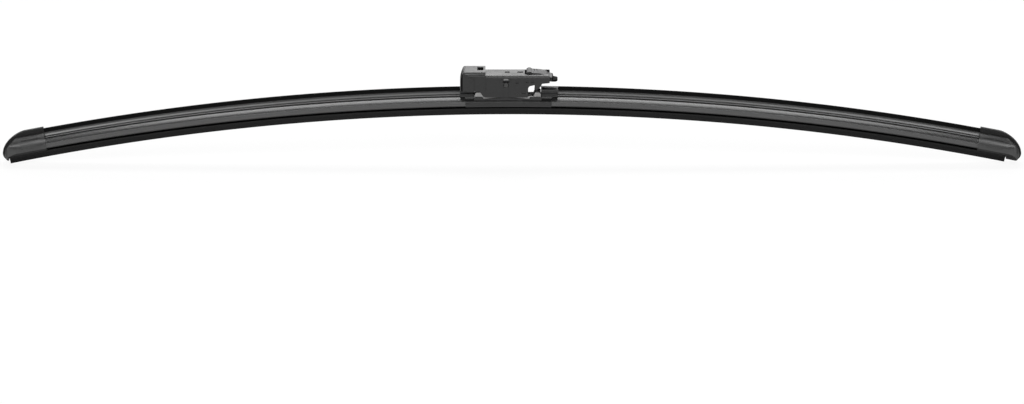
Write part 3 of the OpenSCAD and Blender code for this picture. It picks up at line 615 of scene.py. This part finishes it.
def spoiler_fin(side):
    name, node = "spoiler_fin_skin_" + side, "spoiler_fin_" + side
    piece = swept(name, fin_section(), FIN_SPANS[side], node, "blade", fin_finish)
    dress(piece, "fin_rubber", "fin", "fin tip")


def rubber_element():
    piece = swept("rubber_extrusion", rubber_section(), RUBBER_SPAN, "rubber_element", "blade")
    dress(piece, "wiping_rubber", "rubber")


def adapter_housing():
    cuts = (NOSE_END, BROW[0], BROW[1])
    piece = moulded("housing_moulding", "adapter_housing", "adapter", MOULD_EDGE, housing_finish, cuts)
    # After the dull plastic and painted shade come the brow's and the top edges' painted highlights
    dress(piece, "adapter_plastic", "adapter", "adapter dull and shade", "adapter brow highlight", "adapter edge highlight")


def latch_lever():
    piece = moulded("lever_moulding", "latch_lever", "latch", MOULD_EDGE, lever_finish, (GRIP_START,))
    dress(piece, "lever_plastic", "lever", "grip")


def base_cover():
    piece = moulded("cover_moulding", "base_cover", "blade", MOULD_EDGE)
    dress(piece, "cover_plastic", "cover")


def bracket():
    piece = moulded("bracket_pressing", "bracket", "blade", PRESSED_EDGE)
    dress(piece, "bracket_steel", "steel")


def end_cap(side):
    piece = moulded("cap_moulding_" + side, "end_cap_" + side, "blade", CAP_EDGE, cap_finish)
    # The cap's second material is painted shade
    dress(piece, "cap_plastic", "cap", "cap shade")


def latch_spring():
    """The spring stands on the housing's floor."""
    spring = coiled("spring_coil", "latch_spring", "adapter")
    dress(spring, "spring_steel", "wire")
    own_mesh(spring)


# Camera at the photograph's angle

# The photograph's frame in pixels, the row of the object's origin in it, and its scale
PHOTO_W, PHOTO_H = 1024, 404
ORIGIN_PIXEL_Y = 72.1
MM_PER_PIXEL = 0.5878
VIEW_ELEVATION = 15.0

# A long lens, in millimetres, and how near and far it sees, in metres
LENS, SENSOR = 400.0, 36.0
CLIP = (0.1, 60.0)


def make_camera():
    distance = LENS * PHOTO_W * MM_PER_PIXEL / SENSOR * MM
    elevation = math.radians(VIEW_ELEVATION)
    drop = (PHOTO_H / 2 - ORIGIN_PIXEL_Y) * MM_PER_PIXEL * MM
    pitch = elevation + math.atan(drop / distance)
    data = bpy.data.cameras.new("camera")
    data.lens, data.sensor_width = LENS, SENSOR
    data.dof.use_dof = False
    data.clip_start, data.clip_end = CLIP
    camera = bpy.data.objects.new("camera", data)
    camera.location = Vector((0.0, -math.cos(elevation), math.sin(elevation))) * distance
    look = Vector((0.0, math.cos(pitch), -math.sin(pitch)))
    camera.rotation_euler = look.to_track_quat("-Z", "Y").to_euler()
    bpy.context.scene.collection.objects.link(camera)
    bpy.context.scene.camera = camera


# Studio, in metres

# The room fades to its ceiling between two elevations, in degrees, and to its ends between two
# shares of the way along X
LOW_SKY, HIGH_SKY, CEILING = 22.0, 38.0, 0.15
ENDS, END_TONE = (0.6, 0.8), 0.15

FLOOR_HALF, FLOOR_GAP, FLOOR_PARTS = 12.0, 0.0002, 8
FLOOR_TONE, FLOOR_ROUGHNESS, FLOOR_GLOW = 0.9, 0.9, 0.9

# Name, place, size and radiance of each soft box
LIGHTS = (
    ("overhead box", (0.0, 0.43, 1.12), (1.02, 0.5), 6.5),
    ("front centre", (0.0, -1.0, 0.75), (0.7, 0.5), 2.2),
    ("front left", (-0.62, -0.95, 0.75), (0.55, 0.5), 6.0),
    ("front right", (0.62, -0.95, 0.75), (0.55, 0.5), 6.0),
    ("tall back", (0.0, 1.46, 0.78), (1.8, 1.1), 2.2),
)


def faded(tree, value, start, end, last):
    """Goes smoothly from 1 to last while the value goes from start to end."""
    fade = tree.nodes.new("ShaderNodeMapRange")
    fade.interpolation_type = "SMOOTHSTEP"
    fade.inputs["From Min"].default_value = start
    fade.inputs["From Max"].default_value = end
    fade.inputs["To Min"].default_value = 1.0
    fade.inputs["To Max"].default_value = last
    tree.links.new(value, fade.inputs["Value"])
    return fade.outputs["Result"]


def make_world():
    """A pale room with a dim ceiling and dim ends, all white to the lens."""
    world = bpy.data.worlds.new("studio")
    world.use_nodes = True
    bpy.context.scene.world = world
    tree = world.node_tree
    place = tree.nodes.new("ShaderNodeTexCoord")
    split = tree.nodes.new("ShaderNodeSeparateXYZ")
    tree.links.new(place.outputs["Generated"], split.inputs["Vector"])
    sky = [math.sin(math.radians(angle)) for angle in (LOW_SKY, HIGH_SKY)]
    ceiling = faded(tree, split.outputs["Z"], *sky, CEILING)
    aside = joined(tree, "ABSOLUTE", split.outputs["X"])
    ends = faded(tree, aside, *ENDS, END_TONE)
    room = joined(tree, "MULTIPLY", ceiling, ends)
    path = tree.nodes.new("ShaderNodeLightPath")
    seen = joined(tree, "MAXIMUM", room, path.outputs["Is Camera Ray"])
    tree.links.new(seen, tree.nodes["Background"].inputs["Strength"])


def floor_material():
    """A pale floor that the lens, gloss and glass see as white with the object's faint shadow."""
    shader = Shader("floor", FLOOR_TONE, FLOOR_ROUGHNESS, specular=0.0)
    glow = shader.node("ShaderNodeEmission")
    glow.inputs["Strength"].default_value = FLOOR_GLOW
    shadow = shader.node("ShaderNodeBsdfDiffuse")
    shadow.inputs["Color"].default_value = (*grey(1.0 - FLOOR_GLOW), 1.0)
    white = shader.node("ShaderNodeAddShader")
    shader.link(glow.outputs["Emission"], white.inputs[0])
    shader.link(shadow.outputs["BSDF"], white.inputs[1])
    path = shader.node("ShaderNodeLightPath")
    lens = joined(shader.tree, "MAXIMUM", path.outputs["Is Camera Ray"], path.outputs["Is Glossy Ray"])
    seen = joined(shader.tree, "MAXIMUM", lens, path.outputs["Is Transmission Ray"])
    mix = shader.node("ShaderNodeMixShader")
    shader.link(seen, mix.inputs["Fac"])
    shader.link(shader.surface.outputs["BSDF"], mix.inputs[1])
    shader.link(white.outputs["Shader"], mix.inputs[2])
    shader.link(mix.outputs["Shader"], shader.tree.nodes["Material Output"].inputs["Surface"])
    return shader.material


def make_floor():
    mesh = bpy.data.meshes.new("floor")
    bm = bmesh.new()
    bmesh.ops.create_grid(bm, x_segments=FLOOR_PARTS, y_segments=FLOOR_PARTS, size=FLOOR_HALF)
    bm.to_mesh(mesh)
    bm.free()
    mesh.materials.append(floor_material())
    floor = bpy.data.objects.new("floor", mesh)
    floor.location.z = CAD_BOX[0].z - FLOOR_GAP
    bpy.context.scene.collection.objects.link(floor)


def make_light(name, place, size, radiance):
    """A soft box that faces the object; radiance 1 is as bright as a white floor."""
    data = bpy.data.lights.new(name, "AREA")
    data.shape = "RECTANGLE"
    data.size, data.size_y = size
    data.energy = radiance * math.pi * size[0] * size[1]
    lamp = bpy.data.objects.new(name, data)
    lamp.location = place
    lamp.rotation_euler = (-Vector(place)).to_track_quat("-Z", "Y").to_euler()
    lamp.visible_camera = False
    bpy.context.scene.collection.objects.link(lamp)


# The whole blade, and the studio round it

for side in SIDES:
    spoiler_base(side)
    spoiler_fin(side)
rubber_element()
adapter_housing()
latch_lever()
base_cover()
bracket()
for side in SIDES:
    end_cap(side)
latch_spring()
redress("pivot_pin", "pin")
redress("rail_front", "rail")
redress("rail_rear", "rail")

make_camera()
make_world()
make_floor()
for light in LIGHTS:
    make_light(*light)

bpy.context.scene.view_settings.view_transform = "Standard"
